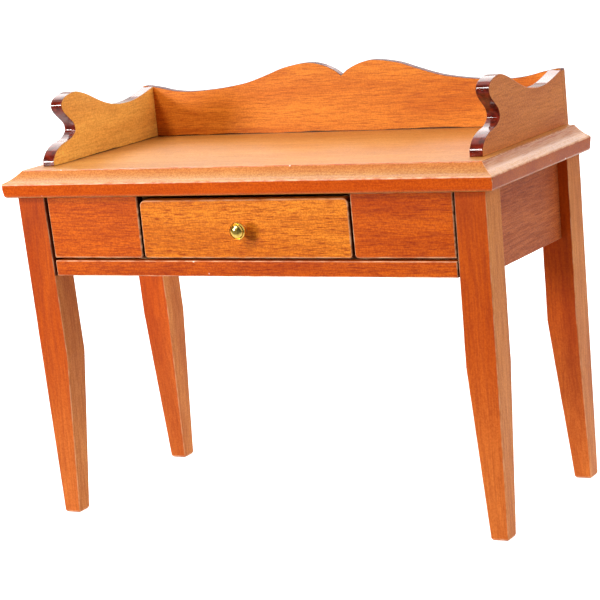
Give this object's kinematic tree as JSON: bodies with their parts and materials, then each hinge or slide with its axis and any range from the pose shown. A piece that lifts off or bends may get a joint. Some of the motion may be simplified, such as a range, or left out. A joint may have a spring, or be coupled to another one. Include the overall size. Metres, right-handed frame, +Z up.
{
  "type": "miniature dressing table",
  "caption": "Doll's house dressing table in stained wood, with a moulded top, tapered legs, a scrolled gallery and a small sliding drawer with a brass knob.",
  "frame": {"origin": "on the floor under the feet, in the middle of the overall footprint", "axes": "+Z up, +X along the width to the right as seen from in front, the front with the drawer faces -Y"},
  "size_m": [0.1, 0.0468, 0.0794],
  "materials": {
    "top_wood": "satin lacquer over orange cherry stain",
    "gallery_wood": "satin lacquer, gloss red-brown sawn edges",
    "leg_wood": "satin lacquer over orange cherry stain",
    "apron_wood": "satin lacquer over orange cherry stain",
    "panel_wood": "satin lacquer over orange cherry stain",
    "drawer_front_wood": "satin lacquer over light orange stain",
    "inner_wood": "bare sanded pale wood",
    "brass": "polished"
  },
  "bodies": {
    "table": {"table_top": "top_wood", "gallery_board": "gallery_wood", "left_gallery_bracket": "gallery_wood", "right_gallery_bracket": "gallery_wood", "front_left_leg": "leg_wood", "front_right_leg": "leg_wood", "rear_left_leg": "leg_wood", "rear_right_leg": "leg_wood", "left_side_apron": "apron_wood", "right_side_apron": "apron_wood", "rear_apron": "apron_wood", "left_front_panel": "panel_wood", "right_front_panel": "panel_wood", "lower_front_rail": "panel_wood", "drawer_shelf": "inner_wood", "left_drawer_guide": "inner_wood", "right_drawer_guide": "inner_wood"},
    "drawer": {"drawer_front": "drawer_front_wood", "drawer_left_side": "inner_wood", "drawer_right_side": "inner_wood", "drawer_back": "inner_wood", "drawer_bottom": "inner_wood", "drawer_knob": "brass"}
  },
  "joints": [
    {"name": "drawer_slide", "type": "slide", "parent": "table", "child": "drawer", "axis": [0, -1, 0], "range_m": [0, 0.026]}
  ]
}
